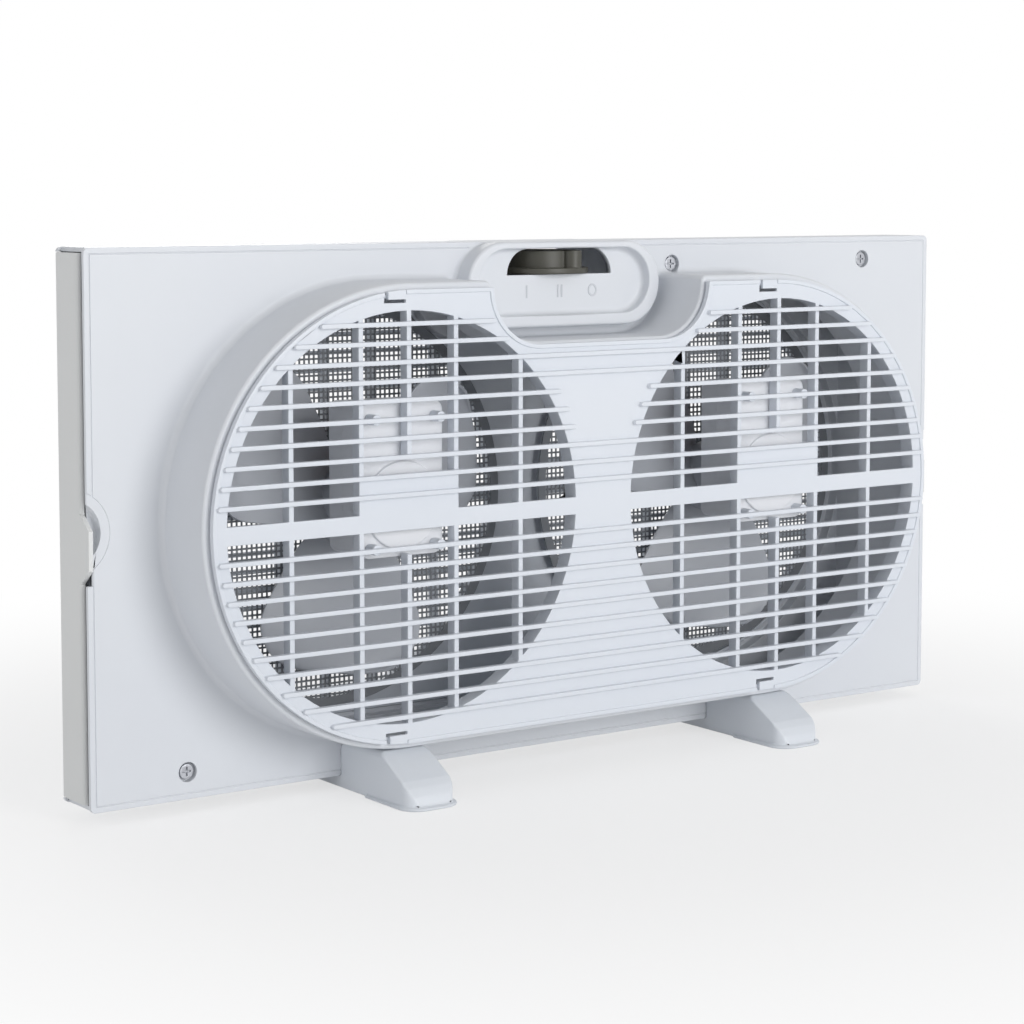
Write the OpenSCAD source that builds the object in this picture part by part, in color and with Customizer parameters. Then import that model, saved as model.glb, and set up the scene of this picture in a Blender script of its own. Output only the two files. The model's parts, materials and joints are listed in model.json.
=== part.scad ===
// Window fan with two rotors, a dial, sliding side frames and pleated side curtains.
// The exhaust side faces -Y, the room side +Y, and the fan stands on two clip-on feet.

/* [Panel] */
// Width across both side frames when they are pushed in
panel_w = 610; // [600:1:660]
// Height of the flat panel above and below the shroud
panel_margin = 21; // [20.5:0.5:36]
// Depth of the flat panel, both shells together
panel_t = 34; // [32:1:44]
// Wall of the moulded shells
wall = 2.5; // [2:0.1:3]
// Radius of the panel's corners
corner_r = 3; // [1:0.5:8]
// Width of the border strip around the panel's face
border_w = 3; // [2:0.5:6]
// Width and depth of the groove inside the border strip
border_groove = 0.6; // [0.4:0.1:1]

/* [Shroud] */
// Distance between the centres of the shroud's two round ends
shroud_pitch = 263; // [258:1:270]
// Width of the shroud between a grille opening and the shroud's outer edge
rim_w = 15; // [13:0.5:18]
// How far the shroud stands out of the panel on the exhaust side
exhaust_depth = 44; // [36:1:60]
// How far the shroud stands out of the panel on the room side
room_depth = 7; // [6:0.5:14]
// Width of the shroud's front edge that shows round a grille
ledge_show = 3.5; // [2:0.5:5]
// Radius of the hollow corner where the shroud meets the panel
base_cove = 4; // [1:0.5:4]
// Rounding of the shroud's front edge
edge_soft = 2; // [0.5:0.25:2]
// Half width of the flat stretch at the bottom of the notch over the dial
notch_flat = 45; // [40:1:52]
// Corner radius of the notch
notch_r = 33; // [28:1:34]
// Height of the notch's flat bottom under the panel's upper edge
notch_drop = 57; // [54:1:60]

/* [Grilles] */
// Distance between the two fan axes
fan_pitch = 268; // [264:1:270]
// Radius of a grille opening
opening_r = 114; // [110:0.5:116]
// Thickness of the grille plate
plate_t = 2.5; // [2:0.1:3]
// Gap between the shroud's front edge and the grille plate
shadow_gap = 1.5; // [1:0.1:2]
// Height of one horizontal rib
rib_h = 2.5; // [2:0.1:3.5]
// How far the ribs stand proud of the plate
rib_proud = 3; // [2:0.25:4]
// Distance from one rib to the next
rib_pitch = 10.4; // [10:0.1:10.6]
// Distance from the middle of the band to the first rib
band_gap = 14.8; // [13:0.1:15]
// Height of the flat band across both openings
band_h = 10; // [7:0.5:13]
// How far the rib ends run over the plate
rib_overrun = 7.3; // [5:0.1:8]
// Width of an upright rib
upright_w = 3; // [2:0.1:4]
// Depth of an upright rib
upright_depth = 7; // [5:0.5:7]
// Distance of the inner uprights from the fan axis
upright_in = 31; // [30:0.5:34]
// Distance of the outer uprights from the fan axis
upright_out = 75; // [68:1:84]
// Width of the raised lip round a grille
lip_w = 2.4; // [1.6:0.1:3]
// Width of one clip tab in the lip
clip_w = 14; // [10:0.5:18]
// Depth of the collar behind a grille opening on the exhaust side
collar_depth = 8; // [6:0.5:8]

/* [Feet] */
// Distance that the panel stands above the ground
foot_drop = 7; // [5:0.5:12]
// Distance between the feet's middles
foot_pitch = 268; // [240:1:290]
// Width of a foot's body
foot_w = 32; // [26:1:36]
// How far the feet reach in front of the panel
foot_reach = 75; // [70:0.5:84]
// Thickness of the flange round a foot
foot_flange_t = 1.8; // [1.4:0.1:3]
// Radius of a foot's upper edges
foot_edge_r = 4; // [2:0.5:6]

/* [Dial] */
// Radius of the dial's flange
dial_r = 30; // [28:0.5:31]
// Thickness of the dial's flange
dial_flange_t = 3.4; // [2.5:0.1:5]
// Radius of the dial's drum
drum_r = 23; // [18:0.5:24]
// Radius of a grip boss on the drum
grip_r = 6; // [4:0.5:7]
// Half width of the window that the dial shows through
window_half = 38; // [36:0.5:42]
// Radius of the round ends of the boss round the dial
dish_r = 25; // [24:0.5:26]
// How far that boss stands out of the panel
dish_proud = 12; // [10:0.5:14]
// Depth of the dish inside it
dish_depth = 7; // [5:0.5:8]
// Radius of the dial's spindle
spindle_r = 3; // [2.5:0.25:3.5]

/* [Motors] */
// Width of a motor cover
cover_w = 54; // [52:0.5:56]
// Height of a motor cover
cover_h = 86; // [82:1:92]
// Depth of a motor cover
cover_d = 34; // [33:0.5:36]
// Height of the fan axis above the cover's lower edge
cover_below = 22; // [21:0.5:24]
// Wall of a motor cover
cover_wall = 2; // [1.5:0.1:2.5]
// Radius of the raised disc on a cover
disc_r = 24.5; // [18:0.5:25]
// Thickness of the laminated stator
stack_t = 18; // [16:0.5:19]
// Radius of the motor's rotor
armature_r = 12.6; // [10:0.1:13]
// Radius of the motor shaft
shaft_r = 2.5; // [2:0.1:3]

/* [Blades] */
// Number of blades on a rotor
blade_count = 3; // [3:1:6]
// Gap between the blade tips and the grille opening's radius
tip_gap = 18; // [4:0.5:20]
// Radius of the rotor's hub
hub_r = 22; // [18:0.5:26]
// Axial depth of a blade
blade_depth = 25; // [20:0.5:27]
// Thickness of a blade
blade_t = 1.8; // [1.4:0.1:2.4]
// Angle at which the left rotor rests
left_rest = 95; // [0:1:119]
// Angle at which the right rotor rests
right_rest = 94; // [0:1:119]

/* [Side frames] */
// Length that each side frame slides out
stroke = 165; // [60:5:165]
// Thickness of a side frame's end wall
end_t = 2.7; // [2:0.1:3.2]
// Number of pleats in a side curtain
pleats = 15; // [10:1:16]
// Thickness of the curtain's sheet
sheet_t = 0.5; // [0.4:0.05:0.7]
// Depth of the curtain's folds
fold_depth = 15; // [12:0.5:16]
// Height of the grip tab on a side frame
grip_h = 37; // [30:1:44]
// Radius of the finger notch
finger_r = 18.4; // [16:0.2:22]

/* [Bug screens] */
// Distance between the threads of a bug screen
thread_pitch = 14; // [12.5:0.5:20]
// Width of a thread
thread_w = 1.2; // [0.8:0.1:2]

/* [Clearances] */
// Gap between a moving curved face and its neighbour
running_gap = 0.3; // [0.2:0.05:0.4]
// Radial clearance of a shaft or spindle in its bore
bore_gap = 0.05; // [0.02:0.01:0.08]
// Gap between parts that are snapped or slid together
snap_gap = 0.3; // [0.2:0.05:0.5]

/* [Hidden] */
$fn = 96;
eps = 0.01;

housing_white = [0.90, 0.92, 0.94];
grille_white = [0.88, 0.91, 0.95];
frame_cream = [0.84, 0.83, 0.80];
curtain_grey = [0.72, 0.74, 0.76];
dial_olive = [0.43, 0.42, 0.37];
blade_grey = [0.62, 0.65, 0.68];
cover_white = [0.95, 0.95, 0.95];
lamination_grey = [0.50, 0.50, 0.52];
copper = [0.72, 0.42, 0.25];
zinc = [0.75, 0.76, 0.78];
bronze = [0.66, 0.50, 0.28];
rubber_black = [0.12, 0.12, 0.12];

shroud_r = opening_r + rim_w;
panel_h = 2 * (shroud_r + panel_margin);

// Heights above the panel's lower edge
axis_h = panel_h / 2 + 0.5;
band_h0 = axis_h - 1.5;
rib_r = opening_r + rib_overrun;
rib_count = floor((opening_r - band_gap) / rib_pitch) + 1;
bare_from = 4;
bare_to = 6;
blade_r = opening_r - tip_gap;

// Depths from the panel's exhaust face, which is y = 0
grille_back = -exhaust_depth - shadow_gap;
grille_front = grille_back - plate_t;
room_reach = room_depth + shadow_gap + plate_t + rib_proud;
seam_y = panel_t / 2;

// The exhaust face sits so that the whole fan is centred on y = 0
face_y = (foot_reach - room_reach - panel_t) / 2;

// Grille and shroud outlines
grille_r = shroud_r - ledge_show;
notch_ledge = 1.5;
skirt_w = 2;
notch_h = panel_h - notch_drop;
notch_centre = notch_h + notch_r;
notch_x = notch_flat + notch_r - notch_ledge;
notch_soft = axis_h + shroud_r - notch_centre;
soft_steps = 4;
lip_proud = 1;
clip_x = -9;
clip_slot = 1.8;
clip_side = 2.6;
room_collar = room_depth - 2.5;

// Dial, dish and window
dish_half = 45;
dish_h = panel_h - dish_r;
dish_rim = 8;
dish_rim_top = 4;
dish_rim_low = 7;
dish_in_r = (2 * dish_r - dish_rim_top - dish_rim_low) / 2;
dish_in_half = dish_half + dish_r - dish_rim - dish_in_r;
dish_in_h = panel_h - dish_rim_top - dish_in_r;
dish_cove = dish_h - dish_r - notch_h - notch_ledge - base_cove - 0.1;
dish_soft = 3;
window_low = panel_h - 19.5;
window_high = panel_h - dish_rim_top;
window_arc = window_high - window_low;
dial_low = window_low + running_gap;
dial_high = window_high - 1.5;
dial_hub_drop = 3;
shelf_t = 2.5;
shelf_top = window_low - 8;
shelf_half = 30;
switch_w = 34;
switch_d = 22;
switch_h = 20;
switch_bush_r = 4.8;
switch_low = shelf_top - shelf_t - switch_h;
nut_t = 3.2;
grip_angle = -70;

// Screws that hold the two shells together: the three seen on the exhaust face
boss_r = 4.5;
curtain_root = shroud_pitch / 2 + shroud_r - wall - 2;
screw_side = curtain_root - 2 * boss_r;
screw_top = dish_half + dish_r + 19;
screw_in = 15;
screw_places = [
    [-screw_side, screw_in], [screw_side, panel_h - screw_in + 0.5], [screw_top, panel_h - screw_in]
];
head_r = 4.2;
head_t = 2.6;
small_head_r = 2.8;
head_pocket_r = 5.5;
head_pocket_depth = 4;
screw_r = 1.6;

// Motor stack, from the cover's front to its open back
post_len = 5.5;
cover_front = grille_back + post_len;
cover_back = cover_front + cover_d;
cover_r = 6;
cover_step = 0.8;
disc_proud = 1.6;
disc_up = 6.5;
post_r = 3;
post_x = 21;
post_low = band_h0 - band_gap - axis_h;
post_high = band_h0 + band_gap + 4 * rib_pitch - axis_h;
bolt_x = 18;
bolt_r = 1.9;
bolt_head_r = bolt_r + 1.6;
core_half = 22;
core_low = -19;
core_bar_low = 40;
core_high = 53;
core_window_half = 12;
core_window_low = 19;
stack_front = cover_front + cover_wall + 7;
stack_back = stack_front + stack_t;
air_gap = 0.4;
coil_half = 11.5;
coil_over = 5;
bracket_t = 1.5;
bracket_rise = 5;
bracket_half_h = 7;
cup_r = 7.5;
bush_r = 5.5;
bush_len = 6;

// Rotor
hub_front = cover_back + 4;
hub_depth = 25;
hub_wall = 2.2;
sleeve_r = 6;
nut_r = 8;
nut_len = 8;
blade_inset = 7;   // from the hub's room end to the middle of the blades
blade_mid = hub_front + hub_depth - blade_inset;

// Side frames and curtains
rail_gap = 0.4;
rail_h = 5.7;
rail_wall = 1.4;
rail_overlap = 25;
post_t = 2;
end_out = panel_w / 2 - 0.3;
end_in = end_out - end_t;
rail_len = stroke + rail_overlap;
fold_y0 = seam_y - fold_depth / 2;
fold_y1 = seam_y + fold_depth / 2;
end_front = 8.6;
grip_h0 = panel_h / 2 - 9.5;
finger_out = 10.3;
finger_rim = 5.3;
finger_dip = 0.6;

// Motor lead: its points run from the motor cover to the switch, in the left half
lead_r = 2.2;
lead_sides = 8;

module in_place() {
    translate([0, face_y, foot_drop])
        children();
}

// Turns a piece of the exhaust half into the same piece of the room half
module room_half() {
    translate([0, panel_t, 0])
        rotate([0, 0, 180])
            children();
}

// Extrudes an outline drawn in X and Z from depth y0 to depth y1
module through(y0, y1) {
    translate([0, y1, 0])
        rotate([90, 0, 0])
            linear_extrude(height = y1 - y0)
                children();
}

module bar(low, high) {
    translate(low)
        cube(high - low);
}

module pin_y(x, z, r, y0, y1) {
    translate([x, y0, z])
        rotate([-90, 0, 0])
            cylinder(r = r, h = y1 - y0);
}

module at_fans() {
    for (side = [-1, 1])
        translate([side * fan_pitch / 2, 0])
            children();
}

// Outline with two round ends
module pill(half, r) {
    for (side = [-1, 1])
        translate([side * half, 0])
            circle(r = r);
    square([2 * half, 2 * r], center = true);
}

module rounded_rect(w, h, r) {
    square([w - 2 * r, h], center = true);
    square([w, h - 2 * r], center = true);
    for (sx = [-1, 1], sz = [-1, 1])
        translate([sx * (w / 2 - r), sz * (h / 2 - r)])
            circle(r = r);
}

module panel_outline(inset = 0) {
    translate([0, panel_h / 2])
        rounded_rect(panel_w - 2 * inset, panel_h - 2 * inset, max(corner_r - inset, 0.5));
}

module shroud_outline(r) {
    translate([0, axis_h])
        pill(shroud_pitch / 2, r);
}

// Outline of the shroud with the corners beside the notch rounded
module shroud_face() {
    top = axis_h + shroud_r;
    difference() {
        notched(shroud_r, -notch_ledge);
        for (side = [-1, 1])
            translate([side * (notch_x + notch_soft / 2 - 0.5), top - notch_soft / 2 + 0.5])
                square(notch_soft + 1, center = true);
    }
    for (side = [-1, 1])
        translate([side * (notch_x + notch_soft), top - notch_soft])
            circle(r = notch_soft);
}

// The notch over the dial, made wider by grow
module notch(grow = 0) {
    top = panel_h + 20;
    for (side = [-1, 1])
        translate([side * notch_flat, notch_centre])
            circle(r = notch_r + grow);
    translate([-notch_flat, notch_h - grow])
        square([2 * notch_flat, top - notch_h + grow]);
    translate([-notch_flat - notch_r - grow, notch_centre])
        square([2 * (notch_flat + notch_r + grow), top - notch_centre]);
}

module notched(r, grow) {
    difference() {
        shroud_outline(r);
        notch(grow);
    }
}

module dish_outline(inset = 0) {
    translate([0, dish_h])
        pill(dish_half, dish_r - inset);
}

module dish_inside() {
    translate([0, dish_in_h])
        pill(dish_in_half, dish_in_r);
}

// The dial's window: flat below, with round upper corners
module window_outline() {
    intersection() {
        translate([0, window_low])
            pill(window_half - window_arc, window_arc);
        translate([-window_half, window_low])
            square([2 * window_half, window_arc]);
    }
}

// ---- Hollow corners and rounded edges ----

// Side view of a hollow corner: x runs out from a wall, and y = base is the face it stands on
function cove_view(base, r) = concat(
    [[-0.5, base + 0.5], [r, base + 0.5]],
    [
        for (i = [0 : soft_steps])
            let (a = 90 + 90 * i / soft_steps)
                [r + r * cos(a), base - r + r * sin(a)]
    ],
    [[-0.5, base - r]]
);

// Side view of what is taken off an edge: x runs out from a wall that ends at y = front
function edge_view(front, r) = concat(
    [[1, front - 1], [-r, front - 1]],
    [
        for (i = [0 : soft_steps])
            let (a = -90 + 90 * i / soft_steps)
                [-r + r * cos(a), front + r + r * sin(a)]
    ],
    [[1, front + r]]
);

// Sets a side view at a wall's radius: air = 1 with the air outside the wall, -1 inside it
module view_at(view, r, air) {
    polygon([for (p = view) [r + air * p[0], p[1]]]);
}

// Sweeps a side view round part of a circle; its angles run from +X downwards
module bend(x, z, r, air, from, turn, view) {
    translate([x, 0, z])
        rotate([-90, 0, 0])
            rotate([0, 0, from])
                rotate_extrude(angle = turn)
                    view_at(view, r, air);
}

// Sweeps a side view along X, above (up = 1) or below (up = -1) height z
module run(x0, x1, z, up, r, air, view) {
    translate([x0, 0, z])
        mirror([0, 0, up > 0 ? 1 : 0])
            rotate([0, 90, 0])
                linear_extrude(height = x1 - x0)
                    view_at(view, r, air);
}

module round_pill(half, z, r, air, view) {
    for (side = [-1, 1])
        bend(side * half, z, r, air, 90 * -side, 180, view);
    for (up = [-1, 1])
        run(-half, half, z, up, r, air, view);
}

// Sweeps a side view round the shroud's outer wall and down through the notch
module round_shroud(view) {
    end = shroud_pitch / 2;
    corner = notch_x + notch_soft;
    for (side = [-1, 1]) {
        bend(side * end, axis_h, shroud_r, 1, 90 * -side, 180, view);
        run(side > 0 ? corner : -end, side > 0 ? end : -corner, axis_h, 1, shroud_r, 1, view);
        bend(side * corner, axis_h + shroud_r - notch_soft, notch_soft, 1,
             side > 0 ? 180 : 270, 90, view);
        bend(side * notch_flat, notch_centre, notch_r - notch_ledge, -1, side > 0 ? 0 : 90, 90, view);
    }
    run(-end, end, axis_h, -1, shroud_r, 1, view);
    run(-notch_flat, notch_flat, notch_centre, -1, notch_r - notch_ledge, -1, view);
}

// ---- Shells ----

module shell_bosses() {
    for (place = screw_places) {
        pin_y(place[0], place[1], head_pocket_r + 1.5, 0, head_pocket_depth + 2);
        pin_y(place[0], place[1], boss_r, 0, seam_y);
        pin_y(-place[0], place[1], boss_r, 0, seam_y);
    }
}

module shell_bores() {
    for (place = screw_places) {
        pin_y(place[0], place[1], head_pocket_r, -eps, head_pocket_depth);
        pin_y(place[0], place[1], head_pocket_r - 0.1, -base_cove - 1, 1);
        pin_y(place[0], place[1], screw_r + snap_gap, 0, seam_y + eps);
        pin_y(-place[0], place[1], screw_r + bore_gap, head_pocket_depth, seam_y + eps);
    }
}

module finger_notches() {
    for (side = [-1, 1]) {
        pin_y(side * (panel_w / 2 + finger_out), panel_h / 2, finger_r, -1, wall + 1);
        pin_y(side * (panel_w / 2 + finger_out), panel_h / 2, finger_r + finger_rim,
              -1, finger_dip);
    }
}

// The flat panel with its rims, the shroud over the fans and the block round the dial
module shell_body(depth) {
    difference() {
        union() {
            through(0, wall)
                panel_outline();
            for (z = [0, panel_h - wall])
                bar([-panel_w / 2 + corner_r, 0, z],
                    [panel_w / 2 - corner_r, seam_y, z + wall]);
            through(-depth, wall)
                shroud_face();
            round_shroud(cove_view(0, min(base_cove, 0.3 * depth)));
            through(-dish_proud, wall)
                dish_outline();
            difference() {
                round_pill(dish_half, dish_h, dish_r, 1, cove_view(0, dish_cove));
                bar([-panel_w / 2, -base_cove, panel_h], [panel_w / 2, 1, panel_h + base_cove]);
            }
        }
        through(-depth + wall, wall + eps)
            notched(shroud_r - wall, wall - notch_ledge);
    }
    shell_bosses();
}

// The dish's floor meets its wall in a hollow corner
module shell_with_dish(depth) {
    difference() {
        shell_body(depth);
        through(-dish_proud - eps, -dish_proud + dish_depth)
            dish_inside();
    }
    round_pill(dish_in_half, dish_in_h, dish_in_r, -1,
               cove_view(-dish_proud + dish_depth, dish_soft));
}

module half_shell(depth) {
    difference() {
        shell_with_dish(depth);
        round_shroud(edge_view(-depth, edge_soft));
        round_pill(dish_half, dish_h, dish_r, 1, edge_view(-dish_proud, edge_soft));
        round_pill(dish_in_half, dish_in_h, dish_in_r, -1, edge_view(-dish_proud, edge_soft / 2));
        through(-depth - eps, -depth + wall + eps)
            notched(grille_r - ledge_show / 2 + snap_gap, ledge_show / 2 - snap_gap);
        through(-dish_proud + dish_depth + wall, wall + eps)
            dish_outline(wall);
        through(-dish_proud, wall)
            window_outline();
        through(-eps, border_groove)
            difference() {
                panel_outline(border_w);
                panel_outline(border_w + border_groove);
                shroud_outline(shroud_r + base_cove + 1);
                dish_outline(-dish_cove - 1);
            }
        shell_bores();
        finger_notches();
    }
}

// Shelf behind the dish that carries the switch and guides the spindle
module dial_shelf() {
    difference() {
        bar([-shelf_half, -dish_proud + dish_depth + wall - eps, shelf_top - shelf_t],
            [shelf_half, panel_t - wall, shelf_top]);
        translate([0, seam_y, shelf_top - shelf_t - 1])
            cylinder(r = switch_bush_r + bore_gap, h = shelf_t + 2);
    }
}

// Shallow recesses in the panel's underside that the feet seat in
module foot_seats() {
    for (side = [-1, 1])
        bar([side * foot_pitch / 2 - foot_w / 2 - snap_gap, -1, -1],
            [side * foot_pitch / 2 + foot_w / 2 + snap_gap, foot_back + snap_gap, foot_seat]);
}

module foot_screw_boss(side) {
    translate([side * foot_pitch / 2, foot_screw_y, wall - eps])
        cylinder(r = foot_boss_r, h = foot_screw_up);
}

module exhaust_shell() {
    color(housing_white)
        in_place()
            difference() {
                union() {
                    half_shell(exhaust_depth);
                    dial_shelf();
                    for (side = [-1, 1])
                        foot_screw_boss(side);
                }
                foot_seats();
                for (side = [-1, 1]) {
                    grip_slot(side);
                    translate([side * foot_pitch / 2, foot_screw_y, -1])
                        cylinder(r = screw_r + bore_gap, h = foot_screw_up + wall);
                }
            }
}

// Slot in the panel's edge for the grip tab of a side frame
module grip_slot(side) {
    x0 = side > 0 ? end_in - snap_gap : -panel_w / 2 - 1;
    x1 = side > 0 ? panel_w / 2 + 1 : -end_in + snap_gap;
    bar([x0, -1, grip_h0 - grip_h / 2 - snap_gap], [x1, wall + 1, grip_h0 + grip_h / 2 + snap_gap]);
}

// Web that holds the fixed end of a side curtain
module curtain_post(side) {
    x = side > 0 ? curtain_root : -curtain_root - post_t;
    bar([x, fold_y0, wall + rail_gap + rail_h + snap_gap],
        [x + post_t, panel_t - wall + eps, panel_h - wall - rail_gap - rail_h - snap_gap]);
}

module room_shell() {
    color(housing_white)
        in_place()
            difference() {
                union() {
                    room_half()
                        half_shell(room_depth);
                    for (side = [-1, 1])
                        curtain_post(side);
                }
                foot_seats();
                for (side = [-1, 1])
                    end_recess(side);
                pin_y(0, gland_h, gland_r + snap_gap, panel_t - wall - 1, panel_t + 1);
            }
}

// Room in the room shell's edge for the end wall of a side frame
module end_recess(side) {
    x0 = side > 0 ? end_in - snap_gap : -panel_w / 2 - 1;
    x1 = side > 0 ? panel_w / 2 + 1 : -end_in + snap_gap;
    bar([x0, seam_y, wall + rail_gap - snap_gap],
        [x1, panel_t + 1, panel_h - wall - rail_gap + snap_gap]);
}

// ---- Grilles ----

// Half the notch's width at height z, with its corners round
function notch_half_at(z) =
    z <= notch_h ? 0
    : z >= notch_centre ? notch_flat + notch_r
    : notch_flat + sqrt(notch_r * notch_r - (notch_centre - z) * (notch_centre - z));

// Half the length of a rib over one fan at height z
function rib_half(z) = sqrt(rib_r * rib_r - (z - axis_h) * (z - axis_h));

function rib_z(k, up) = band_h0 + (up ? 1 : -1) * (band_gap + (k - 1) * rib_pitch);

// The middle stays bare over three ribs above the band, and the notch ends the highest ribs
function rib_crosses(k, up) =
    !up || (k < bare_from || k > bare_to) && rib_z(k, up) + rib_h / 2 + lip_w + 1 < notch_h;

module rib_outline(x0, x1, z) {
    translate([(x0 + x1) / 2, z])
        pill((x1 - x0) / 2 - rib_h / 2, rib_h / 2);
}

module rib_row(k, up) {
    z = rib_z(k, up);
    out = fan_pitch / 2 + rib_half(z);
    in = max(fan_pitch / 2 - rib_half(z), notch_half_at(z + rib_h) + lip_w + 1);
    if (rib_crosses(k, up))
        rib_outline(-out, out, z);
    else
        for (side = [-1, 1])
            rib_outline(side < 0 ? -out : in, side < 0 ? -in : out, z);
}

module upright(x, z0, z1) {
    translate([x - upright_w / 2, z0])
        square([upright_w, z1 - z0]);
}

module uprights() {
    gap_low = disc_up - disc_r - 2;
    gap_high = disc_up + disc_r + 2;
    at_fans()
        translate([0, axis_h]) {
            for (x = [upright_in, upright_out], side = [-1, 1]) {
                half = sqrt((opening_r + 1) * (opening_r + 1) - x * x);
                upright(side * x, -half, half);
            }
            upright(0, -opening_r - 1, gap_low);
            upright(0, gap_high, opening_r + 1);
        }
}

// Flat outline of the plate with its two openings, the band and the patches on it
module plate_outline() {
    difference() {
        notched(grille_r, 0);
        at_fans()
            translate([0, axis_h])
                circle(r = opening_r);
    }
    translate([-fan_pitch / 2 - opening_r - 1, band_h0 - band_h / 2])
        square([fan_pitch + 2 * opening_r + 2, band_h]);
    at_fans()
        translate([-upright_in, band_h0])
            square([2 * upright_in, band_gap + rib_pitch]);
}

// Two-armed slot beside a clip tab: up = 1 at the top edge, -1 at the bottom edge
module clip_slots(up) {
    edge = axis_h + up * grille_r;
    low = edge - up * (lip_w + 4.8);
    at_fans()
        translate([clip_x - clip_w / 2, 0]) {
            translate([0, min(low, edge + up)])
                square([clip_side, abs(edge + up - low)]);
            translate([0, min(low, low + up * clip_slot)])
                square([clip_w, clip_slot]);
        }
}

module clip_tabs(up) {
    edge = axis_h + up * grille_r;
    at_fans()
        translate([clip_x - clip_w / 2, edge - lip_w - 1])
            square([clip_w, 2 * lip_w + 2]);
}

// A grille whose plate lies at a depth behind which y grows towards the fans
module grille(depth, collar) {
    back = -depth - shadow_gap;
    front = back - plate_t;
    difference() {
        union() {
            through(front, back)
                plate_outline();
            through(front - lip_proud, front + eps)
                difference() {
                    notched(grille_r, 0);
                    notched(grille_r - lip_w, lip_w);
                    for (up = [-1, 1])
                        clip_tabs(up);
                }
            through(front - rib_proud, front + 1)
                for (up = [true, false], k = [1 : rib_count])
                    rib_row(k, up);
            through(front, front + upright_depth)
                uprights();
            through(back - eps, back + collar)
                at_fans()
                    translate([0, axis_h])
                        difference() {
                            circle(r = opening_r + skirt_w);
                            circle(r = opening_r);
                        }
            through(back - eps, back + collar)
                difference() {
                    notched(grille_r - ledge_show / 2, ledge_show / 2);
                    notched(grille_r - ledge_show / 2 - skirt_w, ledge_show / 2 + skirt_w);
                }
        }
        through(front - lip_proud - 1, back + eps)
            for (up = [-1, 1])
                clip_slots(up);
    }
}

module motor_posts() {
    at_fans()
        for (x = [-post_x, post_x], z = [post_low, post_high])
            difference() {
                pin_y(x, axis_h + z, post_r, grille_front, cover_front);
                pin_y(x, axis_h + z, screw_r + bore_gap, grille_front + 1, cover_front + 1);
            }
}

module exhaust_grille() {
    color(grille_white)
        in_place() {
            grille(exhaust_depth, collar_depth);
            motor_posts();
        }
}

module room_grille() {
    color(grille_white)
        in_place()
            room_half()
                grille(room_depth, room_collar);
}

// ---- Bug screens ----

screen_t = 1;
screen_rim = 5;
screen_y1 = panel_t + room_depth + shadow_gap + plate_t - upright_depth - 0.2;

module bug_screen(side) {
    n = ceil(opening_r / thread_pitch);
    color(curtain_grey)
        in_place()
            translate([side * fan_pitch / 2, 0, axis_h])
                through(screen_y1 - screen_t, screen_y1)
                    difference() {
                        circle(r = opening_r + screen_rim);
                        intersection() {
                            circle(r = opening_r - 1);
                            for (i = [-n : n - 1], j = [-n : n - 1])
                                translate([(i + 0.5) * thread_pitch, (j + 0.5) * thread_pitch])
                                    square(thread_pitch - thread_w, center = true);
                        }
                    }
}

// ---- Feet ----

foot_back = panel_t - 4;
foot_top = axis_h - shroud_r - 0.7;
foot_flange_out = 2.4;
foot_toe_r = 10;
foot_flange_back = 28.6;
foot_screw_y = 5;
foot_boss_r = 3.5;
foot_screw_up = 6;
foot_head_r = 3;
foot_head_t = 2;
foot_recess = 3.4;
foot_seat = 0.8;

// Side view of a foot: under the panel at the back, then up under the shroud, down its slope
// and over the toe
function foot_side() = [
    [foot_back, -foot_drop], [foot_back, foot_seat], [0, foot_seat],
    [0, foot_top - base_cove], [-base_cove, foot_top], [-exhaust_depth + 4, foot_top],
    [-foot_reach + 12, 0.38 * foot_top], [-foot_reach + 8, 0.22 * foot_top],
    [-foot_reach + 5, 0.02 * foot_top], [-foot_reach + 3, foot_flange_t - foot_drop],
    [-foot_reach + foot_flange_out, -foot_drop]
];

// Outline of a foot from above with its toe rounded, from its front back to depth back
module foot_plan(grow, back) {
    w = foot_w / 2 + grow;
    r = foot_toe_r + grow;
    front = -foot_reach + foot_flange_out - grow;
    translate([-w, front + r])
        square([2 * w, back - front - r]);
    translate([-w + r, front])
        square([2 * (w - r), 2 * r]);
    for (side = [-1, 1])
        translate([side * (w - r), front + r])
            circle(r = r);
}

module foot(side) {
    color(housing_white)
        in_place()
            translate([side * foot_pitch / 2, 0, 0])
                difference() {
                    union() {
                        intersection() {
                            translate([-foot_w / 2, 0, 0])
                                rotate([90, 0, 90])
                                    linear_extrude(height = foot_w)
                                        polygon(foot_side());
                            through(-foot_reach, foot_back)
                                translate([0, foot_top / 2])
                                    foot_front();
                            translate([0, 0, -foot_drop])
                                linear_extrude(height = foot_drop + foot_top)
                                    foot_plan(0, foot_back);
                        }
                        translate([0, 0, -foot_drop])
                            linear_extrude(height = foot_flange_t)
                                foot_plan(foot_flange_out, -foot_flange_back);
                    }
                    translate([0, foot_screw_y, -foot_drop - 1])
                        cylinder(r = foot_head_r + snap_gap, h = foot_recess + 1);
                    translate([0, foot_screw_y, -foot_drop])
                        cylinder(r = screw_r + snap_gap, h = foot_drop + 1);
                }
}

// Front view of a foot's body with its two upper edges rounded
module foot_front() {
    half_h = foot_top / 2;
    square([foot_w - 2 * foot_edge_r, 2 * half_h], center = true);
    translate([-foot_w / 2, -half_h - foot_drop])
        square([foot_w, 2 * half_h + foot_drop - foot_edge_r]);
    for (sx = [-1, 1])
        translate([sx * (foot_w / 2 - foot_edge_r), half_h - foot_edge_r])
            circle(r = foot_edge_r);
}

// ---- Motors ----

module at_motor(side) {
    in_place()
        translate([side * fan_pitch / 2, 0, axis_h])
            children();
}

module cover_outline(inset) {
    translate([0, cover_h / 2 - cover_below])
        rounded_rect(cover_w - 2 * inset, cover_h - 2 * inset, max(cover_r - inset, 1));
}

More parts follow.
